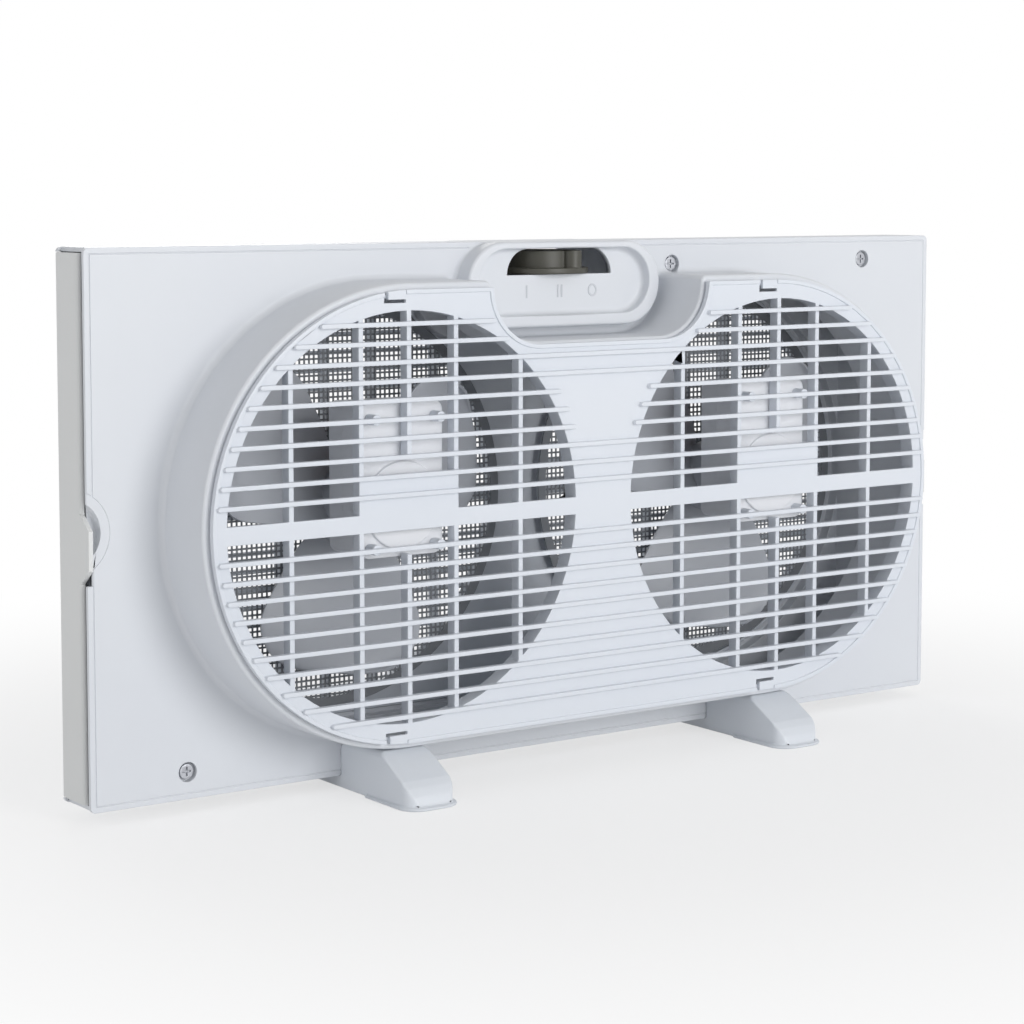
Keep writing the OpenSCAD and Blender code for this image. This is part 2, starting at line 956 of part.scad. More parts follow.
module motor_cover(side) {
    step_y = cover_front + cover_d * 0.55;
    color(cover_white)
        at_motor(side)
            difference() {
                union() {
                    through(cover_front, step_y)
                        cover_outline(0);
                    through(step_y - eps, cover_back)
                        cover_outline(cover_step);
                    pin_y(0, disc_up, disc_r, cover_front - disc_proud, cover_front + eps);
                }
                difference() {
                    through(cover_front + cover_wall, cover_back + 1)
                        cover_outline(cover_step + cover_wall);
                    for (sx = [-1, 1])
                        pin_y(sx * bolt_x, 0, bolt_head_r, cover_front, stack_front - bracket_t);
                }
                for (sx = [-1, 1])
                    pin_y(sx * bolt_x, 0, bolt_r + bore_gap, cover_front + 1.5, cover_back);
                for (x = [-post_x, post_x], z = [post_low, post_high])
                    pin_y(x, z, screw_r + snap_gap, cover_front - 1, cover_front + cover_wall + 1);
                translate([-side * (cover_w / 2 - cover_wall - 2), lead_y, band_h0 - axis_h])
                    rotate([0, -side * 90, 0])
                        cylinder(r = lead_r + snap_gap, h = cover_wall + 4);
            }
}

// Laminated frame: rotor bore below, coil window above
module stator(side) {
    color(lamination_grey)
        at_motor(side)
            through(stack_front, stack_back)
                difference() {
                    translate([-core_half, core_low])
                        square([2 * core_half, core_high - core_low]);
                    circle(r = armature_r + air_gap);
                    for (sx = [-1, 1])
                        translate([sx * bolt_x, 0])
                            circle(r = bolt_r + bore_gap);
                    translate([-core_window_half, core_window_low])
                        square([2 * core_window_half, core_bar_low - core_window_low]);
                }
}

module coil(side) {
    y0 = stack_front - coil_over;
    y1 = stack_back + coil_over;
    z0 = core_window_low + snap_gap;
    z1 = core_high + coil_over;
    color(copper)
        at_motor(side)
            difference() {
                translate([-coil_half, (y0 + y1) / 2, (z0 + z1) / 2])
                    rotate([90, 0, 90])
                        union() {
                            linear_extrude(height = 2 * coil_half)
                                rounded_rect(y1 - y0 - 1, z1 - z0 - 1, 3);
                            for (x = [0, 2 * coil_half - 1])
                                translate([0, 0, x])
                                    linear_extrude(height = 1)
                                        rounded_rect(y1 - y0, z1 - z0, 2);
                        }
                bar([-coil_half - 1, stack_front - 0.1, core_bar_low - 0.1],
                    [coil_half + 1, stack_back + 0.1, core_high + 0.1]);
            }
}

// One bracket in front of the stack and one behind it, each with a cup for its bush
module bracket(face, out) {
    y_ear = face + out * bracket_t;
    y_top = face + out * (bracket_rise + bracket_t);
    web_in = bolt_x - bolt_head_r - 0.5 - bracket_t;
    difference() {
        union() {
            for (sx = [-1, 1]) {
                mirror([sx > 0 ? 0 : 1, 0, 0]) {
                    bar([web_in, min(face, y_ear), -bracket_half_h],
                        [bolt_x + bolt_head_r + 0.5, max(face, y_ear), bracket_half_h]);
                    bar([web_in, min(face, y_top), -bracket_half_h],
                        [web_in + bracket_t, max(face, y_top), bracket_half_h]);
                }
            }
            bar([-web_in - eps, min(y_top, y_top - out * bracket_t), -bracket_half_h],
                [web_in + eps, max(y_top, y_top - out * bracket_t), bracket_half_h]);
            pin_y(0, 0, cup_r, min(y_top, y_top - out * bush_len), max(y_top, y_top - out * bush_len));
        }
        pin_y(0, 0, bush_r + bore_gap / 2, cover_front, hub_front);
        for (sx = [-1, 1])
            pin_y(sx * bolt_x, 0, bolt_r + bore_gap, cover_front, hub_front);
    }
}

module bearing_brackets(side) {
    color(zinc)
        at_motor(side) {
            bracket(stack_front, -1);
            bracket(stack_back, 1);
        }
}

module bush(y0) {
    difference() {
        pin_y(0, 0, bush_r, y0, y0 + bush_len);
        pin_y(0, 0, shaft_r + bore_gap, y0 - 1, y0 + bush_len + 1);
    }
}

module bushes(side) {
    color(bronze)
        at_motor(side) {
            bush(stack_front - bracket_rise - bracket_t);
            bush(stack_back + bracket_rise + bracket_t - bush_len);
        }
}

// ---- Motor leads ----

lead_y = cover_front + 8;
lead_x = 8;
switch_y = seam_y;

// Point on the left lead's climb, at shares of the way back and of the way up to the switch
function lead_climb(x, back, up) =
    [x, lead_y + back * (switch_y - lead_y), band_h0 + up * (switch_low - band_h0)];

// Points of the left lead, from the cover's side wall to the switch, behind the grille's band
lead_path = [
    [-fan_pitch / 2 + cover_w / 2 - cover_wall, lead_y, band_h0],
    [-fan_pitch / 2 + cover_w / 2 + 8, lead_y, band_h0],
    [-80, lead_y, band_h0],
    [-60, lead_y, band_h0],
    [-40, lead_y, band_h0],
    [-22, lead_y, band_h0],
    lead_climb(-14, 0.02, 0.03),
    lead_climb(-lead_x - 1, 0.06, 0.11),
    lead_climb(-lead_x, 0.13, 0.25),
    lead_climb(-lead_x, 0.3, 0.42),
    lead_climb(-lead_x, 0.55, 0.59),
    lead_climb(-lead_x, 0.8, 0.74),
    lead_climb(-lead_x, 0.95, 0.83),
    lead_climb(-lead_x, 1, 0.9),
    lead_climb(-lead_x, 1, 1)
];

function unit(v) = v / norm(v);

function lead_heading(i) =
    i == 0 ? unit(lead_path[1] - lead_path[0])
    : i == len(lead_path) - 1 ? unit(lead_path[i] - lead_path[i - 1])
    : unit(unit(lead_path[i] - lead_path[i - 1]) + unit(lead_path[i + 1] - lead_path[i]));

// One ring of the lead, square to its heading; the lead never runs along Y, so Y sets the ring's turn
function lead_ring(i) =
    let (t = lead_heading(i), u = unit(cross(t, [0, 1, 0])), v = cross(u, t))
    [for (s = [0 : lead_sides - 1])
        let (a = 360 * s / lead_sides)
        lead_path[i] + lead_r * (cos(a) * u + sin(a) * v)];

module motor_lead(side) {
    rings = len(lead_path);
    n = lead_sides;
    points = [for (i = [0 : rings - 1]) each lead_ring(i)];
    faces = [
        [for (s = [0 : n - 1]) s],
        for (i = [0 : rings - 2], s = [0 : n - 1])
            each [
                [i * n + s, (i + 1) * n + s, (i + 1) * n + (s + 1) % n],
                [i * n + s, (i + 1) * n + (s + 1) % n, i * n + (s + 1) % n]
            ],
        [for (s = [n - 1 : -1 : 0]) (rings - 1) * n + s]
    ];
    color(rubber_black)
        in_place()
            mirror([side > 0 ? 1 : 0, 0, 0])
                polyhedron(points, faces, convexity = 6);
}

// ---- Rotors ----

shaft_front = stack_front - bracket_rise - bracket_t - 0.2;
shaft_back = hub_front + hub_depth + nut_len - 3;

module shaft(side) {
    color(zinc)
        at_motor(side)
            pin_y(0, 0, shaft_r, shaft_front, shaft_back);
}

module armature(side) {
    color(lamination_grey)
        at_motor(side)
            difference() {
                pin_y(0, 0, armature_r, stack_front + 1, stack_back - 1);
                pin_y(0, 0, shaft_r + bore_gap / 2, stack_front, stack_back);
            }
}

module hub() {
    difference() {
        pin_y(0, 0, hub_r, hub_front, hub_front + hub_depth);
        difference() {
            pin_y(0, 0, hub_r - hub_wall, hub_front - 1, hub_front + hub_depth - hub_wall);
            pin_y(0, 0, sleeve_r, hub_front - 2, hub_front + hub_depth);
        }
        pin_y(0, 0, shaft_r + bore_gap / 2, hub_front - 1, hub_front + hub_depth + 1);
    }
}

// Blade form: wide petals whose pitch flattens toward the tip and whose corners are round
blade_rings = 9;
blade_cols = 7;
root_chord = 40;
tip_chord = 116;
camber = 3;
round_from = 0.7;

function lerp(a, b, t) = a + (b - a) * t;

// Share of the span at ring i, closer together near the tip so that its corners come out round
function span_at(i) = sin(90 * i / blade_rings);

// Half the chord at span s, drawn in past round_from on a quarter ellipse
function half_chord(s) =
    let (tip = max(s - round_from, 0) / (1 - round_from))
    lerp(root_chord, tip_chord, pow(s, 0.8)) / 2 * lerp(1, sqrt(max(1 - tip * tip, 0)), 0.5);

function blade_pitch(r) =
    asin(0.94 * min(blade_depth / (2 * half_chord((r - hub_r) / (blade_r - hub_r))), 0.7));

// Point on the blade's middle surface: s along the span, c from -1 to 1 along the chord
function blade_point(s, c, side) =
    let (
        r = lerp(hub_r - hub_wall / 2, blade_r, s),
        half = half_chord(s),
        pitch = blade_pitch(max(r, hub_r)),
        a = c * half * cos(pitch) / r * 180 / PI,
        y = blade_mid - c * half * sin(pitch) + camber * (1 - c * c) * s * 0.6 - camber * 0.3
    )
    [r * cos(a), y + side * blade_t / 2, r * sin(a)];

module blade() {
    rows = blade_rings + 1;
    cols = blade_cols + 1;
    count = rows * cols;
    grid = [for (side = [-1, 1], i = [0 : blade_rings], j = [0 : blade_cols])
        blade_point(span_at(i), 2 * j / blade_cols - 1, side)];
    rim = concat(
        [for (j = [0 : blade_cols - 1]) j],
        [for (i = [0 : blade_rings - 1]) i * cols + blade_cols],
        [for (j = [blade_cols : -1 : 1]) blade_rings * cols + j],
        [for (i = [blade_rings : -1 : 1]) i * cols]
    );
    faces = [
        for (i = [0 : blade_rings - 1], j = [0 : blade_cols - 1])
            let (a = i * cols + j, b = a + 1, c = a + cols, d = c + 1)
            each [
                [a, b, d], [a, d, c],
                [count + a, count + d, count + b], [count + a, count + c, count + d]
            ],
        for (k = [0 : len(rim) - 1])
            let (a = rim[k], b = rim[(k + 1) % len(rim)])
            each [[a, count + b, b], [a, count + a, count + b]]
    ];
    polyhedron(grid, faces, convexity = 4);
}

module blades(side) {
    rest = side < 0 ? left_rest : right_rest;
    color(blade_grey)
        at_motor(side)
            union() {
                hub();
                difference() {
                    for (k = [0 : blade_count - 1])
                        rotate([0, rest + 360 * k / blade_count, 0])
                            blade();
                    pin_y(0, 0, hub_r - hub_wall / 2, hub_front - 10, hub_front + 60);
                }
            }
}

// Domed nut that clamps the blades on the shaft
module blade_nut(side) {
    y0 = hub_front + hub_depth;
    color(cover_white)
        at_motor(side)
            difference() {
                translate([0, y0, 0])
                    rotate([-90, 0, 0])
                        rotate_extrude()
                            polygon([
                                [0, 0], [nut_r, 0], [nut_r, nut_len * 0.45],
                                [nut_r * 0.9, nut_len * 0.7], [nut_r * 0.65, nut_len * 0.92],
                                [nut_r * 0.35, nut_len], [0, nut_len]
                            ]);
                pin_y(0, 0, shaft_r + bore_gap / 2, y0 - 1, shaft_back + 0.2);
            }
}

// ---- Side frames and curtains ----

module rail(z0, inward) {
    y0 = fold_y0;
    y1 = fold_y1;
    difference() {
        bar([-end_in - eps, y0, z0], [-end_out + end_t + rail_len, y1, z0 + rail_h]);
        bar([-end_in + 6, y0 + rail_wall, inward > 0 ? z0 - 1 : z0 + rail_wall],
            [-end_in + rail_len + 1, y1 - rail_wall, inward > 0 ? z0 + rail_h - rail_wall : z0 + rail_h + 1]);
    }
}

// Left side frame: end wall with its grip, and the two rails that slide in the panel
module side_frame_shape() {
    low = wall + rail_gap;
    high = panel_h - wall - rail_gap;
    edge_round = end_t - 0.2;
    translate([0, 0, low])
        linear_extrude(height = high - low)
            intersection() {
                translate([-end_out, end_front])
                    square([end_t, panel_t - end_front]);
                union() {
                    translate([-end_out + edge_round, end_front + edge_round])
                        circle(r = edge_round);
                    translate([-end_out, end_front + edge_round])
                        square([end_t, panel_t]);
                    translate([-end_out + edge_round, end_front])
                        square([end_t, edge_round + 1]);
                }
            }
    rail(low, -1);
    rail(high - rail_h, 1);
    grip_tab();
}

// Grip tab: tapered at both ends, it comes through the slot in the panel's edge
module grip_tab() {
    slope = 8;
    translate([-end_out, 0, grip_h0])
        rotate([90, 0, 90])
            linear_extrude(height = end_t)
                polygon([
                    [end_front + 3, -grip_h / 2], [end_front, -grip_h / 2],
                    [-1, -grip_h / 2 + slope], [-1, grip_h / 2 - slope],
                    [end_front, grip_h / 2], [end_front + 3, grip_h / 2]
                ]);
}

module side_frame(side) {
    color(frame_cream)
        in_place()
            mirror([side > 0 ? 1 : 0, 0, 0])
                side_frame_shape();
}

// Pleated sheet between the web in the panel and the end wall, drawn for the left side
function pleat_step() =
    (end_in - curtain_root - post_t - 2 * snap_gap - sheet_t) / (2 * pleats);

function fold_x(i) = -curtain_root - post_t - snap_gap - sheet_t / 2 - i * pleat_step();

function fold_y(i) = i % 2 == 0 ? fold_y0 + 0.5 : fold_y1 - 0.5;

// Depth at which the two sheets of one fold part again, measured from the fold
function crotch() = (fold_depth - 1) * sheet_t / (2 * pleat_step());

// Outline points at fold i on the side that looks to +Y (up) or to -Y
function fold_points(i, up) =
    let (x = fold_x(i), y = fold_y(i), h = sheet_t / 2)
    (i % 2 == 1) == up ? [[x + h, y], [x - h, y]] : [[x, y + (up ? 1 : -1) * crotch()]];

function curtain_outline(last) = concat(
    [[fold_x(0) + sheet_t / 2, fold_y(0)]],
    [for (i = [1 : last - 1]) each fold_points(i, true)],
    [[fold_x(last) - sheet_t / 2, fold_y(last)], [fold_x(last) + sheet_t / 2, fold_y(last)]],
    [for (i = [last - 1 : -1 : 1]) let (p = fold_points(i, false)) each len(p) > 1 ? [p[1], p[0]] : p],
    [[fold_x(0) - sheet_t / 2, fold_y(0)]]
);

module side_curtain(side) {
    low = wall + rail_gap + rail_h + snap_gap;
    color(curtain_grey)
        in_place()
            mirror([side > 0 ? 1 : 0, 0, 0])
                translate([0, 0, low])
                    linear_extrude(height = panel_h - 2 * low)
                        polygon(curtain_outline(2 * pleats));
}

// ---- Dial and switch ----

module speed_dial() {
    color(dial_olive)
        in_place()
            translate([0, seam_y, 0])
                difference() {
                    union() {
                        translate([0, 0, dial_low])
                            cylinder(r = dial_r, h = dial_flange_t);
                        translate([0, 0, dial_low])
                            cylinder(r = drum_r, h = dial_high - dial_low);
                        for (turn = [0, 180])
                            rotate([0, 0, grip_angle + turn])
                                translate([dial_r - grip_r, 0, dial_low])
                                    cylinder(r = grip_r, h = dial_high - dial_low);
                        translate([0, 0, dial_low - dial_hub_drop])
                            cylinder(r = spindle_r + 2.5, h = dial_hub_drop + 1);
                    }
                    translate([0, 0, dial_low - dial_hub_drop - 1])
                        cylinder(r = spindle_r + bore_gap / 2, h = dial_high - dial_low + dial_hub_drop - 2);
                }
}

module dial_spindle() {
    color(zinc)
        in_place()
            translate([0, seam_y, switch_low + 5])
                cylinder(r = spindle_r, h = dial_high - 3.5 - switch_low - 5);
}

module rotary_switch() {
    top = shelf_top - shelf_t;
    color(rubber_black)
        in_place()
            translate([0, seam_y, 0])
                difference() {
                    union() {
                        translate([0, 0, switch_low])
                            linear_extrude(height = top - switch_low)
                                rounded_rect(switch_w, switch_d, 3);
                        translate([0, 0, top - eps])
                            cylinder(r = switch_bush_r, h = shelf_t + nut_t + 1);
                    }
                    translate([0, 0, switch_low + 5 - 0.4])
                        cylinder(r = spindle_r + bore_gap, h = 60);
                }
}

module switch_nut() {
    color(bronze)
        in_place()
            translate([0, seam_y, shelf_top])
                difference() {
                    cylinder(r = switch_bush_r + 3, h = nut_t, $fn = 6);
                    translate([0, 0, -1])
                        cylinder(r = switch_bush_r + bore_gap, h = nut_t + 2);
                }
}

// ---- Gland for the mains lead, in the room shell ----

gland_r = 5.4;
gland_bore_r = 3.3;
gland_h = 10;
gland_flange_r = 8;

module cord_gland() {
    color(rubber_black)
        in_place()
            difference() {
                union() {
                    pin_y(0, gland_h, gland_r, panel_t - 8, panel_t + eps);
                    pin_y(0, gland_h, gland_flange_r, panel_t, panel_t + 2);
                }
                pin_y(0, gland_h, gland_bore_r, panel_t - 9, panel_t + 3);
            }
}

// ---- Fasteners, each kind in one node ----

// Pan-head screw along Y whose head's underside lies at y0
module screw_y(x, z, y0, length, head) {
    arm = head * 0.62;
    difference() {
        union() {
            pin_y(x, z, screw_r, y0 - eps, y0 + length);
            pin_y(x, z, head, y0 - head_t, y0);
        }
        bar([x - 0.5, y0 - head_t - 1, z - arm], [x + 0.5, y0 - head_t + 1.2, z + arm]);
        bar([x - arm, y0 - head_t - 1, z - 0.5], [x + arm, y0 - head_t + 1.2, z + 0.5]);
    }
}

module exhaust_screws() {
    for (place = screw_places)
        screw_y(place[0], place[1], head_pocket_depth, panel_t - 2 * head_pocket_depth - 1, head_r);
}

module shell_screws() {
    color(zinc)
        in_place() {
            exhaust_screws();
            room_half()
                exhaust_screws();
        }
}

// Screws through the motor cover's front into the grille's posts
module motor_screws() {
    color(zinc)
        in_place()
            for (side = [-1, 1], x = [-post_x, post_x], z = [post_low, post_high])
                translate([side * fan_pitch / 2 + x, cover_front + cover_wall, axis_h + z])
                    rotate([0, 0, 180])
                        screw_y(0, 0, 0, cover_wall + post_len, small_head_r);
}

// Long bolts through the brackets and the stack into the cover
module motor_bolts() {
    in = stack_back + bracket_t;
    color(zinc)
        in_place()
            for (side = [-1, 1], x = [-bolt_x, bolt_x])
                translate([side * fan_pitch / 2 + x, 0, axis_h]) {
                    pin_y(0, 0, bolt_r, cover_front + 2, in + eps);
                    pin_y(0, 0, bolt_head_r, in, in + 2.4);
                }
}

module foot_screws() {
    color(zinc)
        in_place()
            for (side = [-1, 1])
                translate([side * foot_pitch / 2, foot_screw_y, -foot_drop + foot_recess]) {
                    translate([0, 0, -eps])
                        cylinder(r = screw_r, h = foot_drop - foot_recess + foot_screw_up);
                    translate([0, 0, -foot_head_t])
                        cylinder(r = foot_head_r, h = foot_head_t);
                }
}

exhaust_shell();
room_shell();
exhaust_grille();
room_grille();
bug_screen(-1);  // bug_screen_left
bug_screen(1);  // bug_screen_right
foot(-1);  // foot_left
foot(1);  // foot_right
motor_cover(-1);  // motor_cover_left
motor_cover(1);  // motor_cover_right
stator(-1);  // stator_left
stator(1);  // stator_right
coil(-1);  // coil_left
coil(1);  // coil_right
bearing_brackets(-1);  // bearing_brackets_left
bearing_brackets(1);  // bearing_brackets_right
bushes(-1);  // bushes_left
bushes(1);  // bushes_right
motor_lead(-1);  // motor_lead_left
motor_lead(1);  // motor_lead_right
armature(-1);  // armature_left
armature(1);  // armature_right
shaft(-1);  // shaft_left
shaft(1);  // shaft_right
blades(-1);  // blades_left
blades(1);  // blades_right
blade_nut(-1);  // blade_nut_left
blade_nut(1);  // blade_nut_right
side_frame(-1);  // side_frame_left
side_frame(1);  // side_frame_right
side_curtain(-1);  // side_curtain_left
side_curtain(1);  // side_curtain_right
speed_dial();
dial_spindle();
rotary_switch();
switch_nut();
cord_gland();
shell_screws();
motor_screws();
motor_bolts();
foot_screws();
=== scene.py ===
import json
from math import asin, cos, pi, radians, sin, sqrt

import bmesh
import bpy
from mathutils import Matrix, Vector
from mathutils.bvhtree import BVHTree


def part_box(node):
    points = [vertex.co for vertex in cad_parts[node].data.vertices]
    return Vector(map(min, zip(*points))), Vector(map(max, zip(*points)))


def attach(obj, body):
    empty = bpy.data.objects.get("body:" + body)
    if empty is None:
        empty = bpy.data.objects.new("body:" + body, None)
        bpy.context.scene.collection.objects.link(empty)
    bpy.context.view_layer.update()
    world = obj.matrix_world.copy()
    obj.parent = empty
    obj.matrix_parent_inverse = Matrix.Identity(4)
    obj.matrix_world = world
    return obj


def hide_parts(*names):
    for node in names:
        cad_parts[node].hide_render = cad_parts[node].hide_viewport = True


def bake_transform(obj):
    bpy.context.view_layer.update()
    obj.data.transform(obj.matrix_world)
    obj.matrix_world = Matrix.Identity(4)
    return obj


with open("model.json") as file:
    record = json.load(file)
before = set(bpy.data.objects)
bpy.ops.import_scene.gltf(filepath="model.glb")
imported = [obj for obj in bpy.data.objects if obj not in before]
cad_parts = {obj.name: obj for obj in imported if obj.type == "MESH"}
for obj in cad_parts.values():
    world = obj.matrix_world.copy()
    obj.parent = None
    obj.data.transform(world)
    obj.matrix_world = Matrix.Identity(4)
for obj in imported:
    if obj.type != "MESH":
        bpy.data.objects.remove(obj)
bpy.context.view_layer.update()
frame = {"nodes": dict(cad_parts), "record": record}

MM = 0.001
SIDES = ("left", "right")
OUTWARD = {"left": -1, "right": 1}
BODY_OF = {node: body for body, nodes in frame["record"]["behaviour"]["bodies"].items() for node in nodes}
SLOT_OF = {part["node"]: part["material_slot"] for part in frame["record"]["subparts"]}

# Places on the fan, in millimetres
PANEL_FACE = 13.5   # depth of the panel's exhaust face in the frame
PANEL_LOW = 7       # height of the panel's lower edge in the frame
ROTOR_AXIS = {"left": Vector((-134, 0, 150.5)), "right": Vector((134, 0, 150.5))}


# ---- Shader nodes ----

def srgb(red, green, blue):
    """Linear colour from the 0-255 values that a picture shows."""
    def linear(value):
        value /= 255
        return value / 12.92 if value <= 0.04045 else ((value + 0.055) / 1.055) ** 2.4
    return (linear(red), linear(green), linear(blue), 1)


def object_place(nodes):
    return nodes.new("ShaderNodeTexCoord").outputs["Object"]


def noise(nodes, links, place, scale, detail):
    node = nodes.new("ShaderNodeTexNoise")
    node.inputs["Scale"].default_value = scale
    node.inputs["Detail"].default_value = detail
    links.new(place, node.inputs["Vector"])
    return node.outputs["Fac"]


def ranged(nodes, links, value, low, high):
    """Maps a 0-1 mask to low..high."""
    node = nodes.new("ShaderNodeMapRange")
    node.inputs["To Min"].default_value = low
    node.inputs["To Max"].default_value = high
    links.new(value, node.inputs["Value"])
    return node.outputs["Result"]


def reckoned(nodes, links, operation, *values, clamp=False):
    """Math node fed by sockets."""
    node = nodes.new("ShaderNodeMath")
    node.operation = operation
    node.use_clamp = clamp
    for value, socket in zip(values, node.inputs):
        links.new(value, socket)
    return node.outputs[0]


def mixed(nodes, links, factor, a, b):
    """Mix node for two colours; a and b are sockets or colours, factor a socket."""
    node = nodes.new("ShaderNodeMix")
    node.data_type = "RGBA"
    links.new(factor, node.inputs["Factor"])
    for value, socket in ((a, node.inputs["A"]), (b, node.inputs["B"])):
        if isinstance(value, tuple):
            socket.default_value = value
        else:
            links.new(value, socket)
    return node.outputs["Result"]


def mixed_shader(nodes, links, factor, first, second):
    node = nodes.new("ShaderNodeMixShader")
    for value, socket in zip((factor, first.outputs[0], second.outputs[0]), node.inputs):
        links.new(value, socket)
    return node.outputs[0]


def bump(nodes, links, height, strength, distance, shader):
    node = nodes.new("ShaderNodeBump")
    node.inputs["Strength"].default_value = strength
    node.inputs["Distance"].default_value = distance
    links.new(height, node.inputs["Height"])
    links.new(node.outputs["Normal"], shader.inputs["Normal"])


# ---- Shared effects ----

def new_group(name, inputs, outputs):
    """Empty shader node group with named sockets; returns the group and its two end nodes."""
    group = bpy.data.node_groups.new(name, "ShaderNodeTree")
    for label, kind, value in inputs:
        socket = group.interface.new_socket(label, in_out="INPUT", socket_type=kind)
        if value is not None:
            socket.default_value = value
    for label, kind in outputs:
        group.interface.new_socket(label, in_out="OUTPUT", socket_type=kind)
    return group, group.nodes.new("NodeGroupInput"), group.nodes.new("NodeGroupOutput")


def moulded_skin_group():
    """Injection-moulded skin: slow tint drift, cloudy gloss and a fine spark-eroded grain."""
    group, start, end = new_group(
        "Moulded skin",
        [("Colour", "NodeSocketColor", (0.8, 0.8, 0.8, 1)),
         ("Deep colour", "NodeSocketColor", (0.7, 0.7, 0.7, 1)),
         ("Roughness", "NodeSocketFloat", 0.4), ("Gloss drift", "NodeSocketFloat", 0.1)],
        [("Color", "NodeSocketColor"), ("Roughness", "NodeSocketFloat"), ("Height", "NodeSocketFloat")])
    nodes, links = group.nodes, group.links
    place = object_place(nodes)
    drift = noise(nodes, links, place, scale=7.0, detail=3.0)
    grain = noise(nodes, links, place, scale=1900.0, detail=2.0)
    smear = noise(nodes, links, place, scale=45.0, detail=4.0)
    depth = ranged(nodes, links, drift, -0.25, 1.1)
    links.new(mixed(nodes, links, depth, start.outputs["Colour"], start.outputs["Deep colour"]),
              end.inputs["Color"])
    links.new(reckoned(nodes, links, "MULTIPLY_ADD", ranged(nodes, links, smear, -1.0, 1.0),
                       start.outputs["Gloss drift"], start.outputs["Roughness"]),
              end.inputs["Roughness"])
    links.new(grain, end.inputs["Height"])
    return group


def dust_group():
    """Pale dust that settles on faces that look up."""
    group, start, end = new_group(
        "Settled dust",
        [("Colour", "NodeSocketColor", (0.8, 0.8, 0.8, 1)), ("Amount", "NodeSocketFloat", 0.3)],
        [("Color", "NodeSocketColor")])
    nodes, links = group.nodes, group.links
    facing = nodes.new("ShaderNodeSeparateXYZ")
    links.new(nodes.new("ShaderNodeNewGeometry").outputs["Normal"], facing.inputs[0])
    cloud = noise(nodes, links, object_place(nodes), scale=220.0, detail=4.0)
    patches = ranged(nodes, links, cloud, 0.2, 1.0)
    up = reckoned(nodes, links, "MULTIPLY", facing.outputs["Z"], patches, clamp=True)
    share = reckoned(nodes, links, "MULTIPLY", up, start.outputs["Amount"])
    links.new(mixed(nodes, links, share, start.outputs["Colour"], srgb(176, 170, 160)), end.inputs["Color"])
    return group


def drawn_metal_group():
    """Metal skin: streaks along one axis in gloss and height, and slow stains in the colour."""
    group, start, end = new_group(
        "Drawn metal",
        [("Colour", "NodeSocketColor", (0.6, 0.6, 0.6, 1)),
         ("Dull colour", "NodeSocketColor", (0.4, 0.4, 0.4, 1)),
         ("Stretch", "NodeSocketVector", None), ("Roughness", "NodeSocketFloat", 0.3)],
        [("Color", "NodeSocketColor"), ("Roughness", "NodeSocketFloat"), ("Height", "NodeSocketFloat")])
    nodes, links = group.nodes, group.links
    place = object_place(nodes)
    stretched = nodes.new("ShaderNodeVectorMath")
    stretched.operation = "MULTIPLY"
    links.new(place, stretched.inputs[0])
    links.new(start.outputs["Stretch"], stretched.inputs[1])
    streak = noise(nodes, links, stretched.outputs[0], scale=1.0, detail=3.0)
    stain = noise(nodes, links, place, scale=120.0, detail=3.0)
    links.new(mixed(nodes, links, stain, start.outputs["Colour"], start.outputs["Dull colour"]),
              end.inputs["Color"])
    links.new(reckoned(nodes, links, "ADD", ranged(nodes, links, streak, -0.1, 0.12),
                       start.outputs["Roughness"]),
              end.inputs["Roughness"])
    links.new(streak, end.inputs["Height"])
    return group


SKIN = moulded_skin_group()
DUST = dust_group()
DRAWN = drawn_metal_group()


# ---- Materials ----

PLASTIC_GRAIN = 0.05 * MM   # height of the moulded grain
METAL_GRAIN = 0.04 * MM     # height of the drawn metal's streaks
METAL_BUMP = 0.2            # share of it that shows
GLOSS_DRIFT = 0.06          # how far a moulded face's roughness wanders


def new_material(name):
    """Material with its nodes, its links and its Principled shader."""
    material = bpy.data.materials.new(name)
    material.use_nodes = True
    tree = material.node_tree
    return material, tree.nodes, tree.links, tree.nodes["Principled BSDF"]


def place_group(nodes, group, values):
    """Node of a shared effect, with this material's own values."""
    node = nodes.new("ShaderNodeGroup")
    node.node_tree = group
    for label, value in values.items():
        node.inputs[label].default_value = value
    return node


def moulded(name, colour, deep, roughness=0.42, grain=0.25, dust=0.1):
    """Moulded plastic with its grain, gloss drift and a little settled dust."""
    material, nodes, links, shader = new_material(name)
    skin = place_group(nodes, SKIN, {"Colour": colour, "Deep colour": deep, "Roughness": roughness,
                                     "Gloss drift": GLOSS_DRIFT})
    settled = place_group(nodes, DUST, {"Amount": dust})
    links.new(skin.outputs["Color"], settled.inputs["Colour"])
    links.new(settled.outputs["Color"], shader.inputs["Base Color"])
    links.new(skin.outputs["Roughness"], shader.inputs["Roughness"])
    bump(nodes, links, skin.outputs["Height"], grain, PLASTIC_GRAIN, shader)
    return material


def metal(name, colour, dull, stretch, roughness, metallic=1.0):
    """Bare or plated metal with streaks along the axis whose stretch is small."""
    material, nodes, links, shader = new_material(name)
    skin = place_group(nodes, DRAWN, {"Colour": colour, "Dull colour": dull, "Stretch": stretch,
                                      "Roughness": roughness})
    links.new(skin.outputs["Color"], shader.inputs["Base Color"])
    links.new(skin.outputs["Roughness"], shader.inputs["Roughness"])
    bump(nodes, links, skin.outputs["Height"], METAL_BUMP, METAL_GRAIN, shader)
    shader.inputs["Metallic"].default_value = metallic
    return material


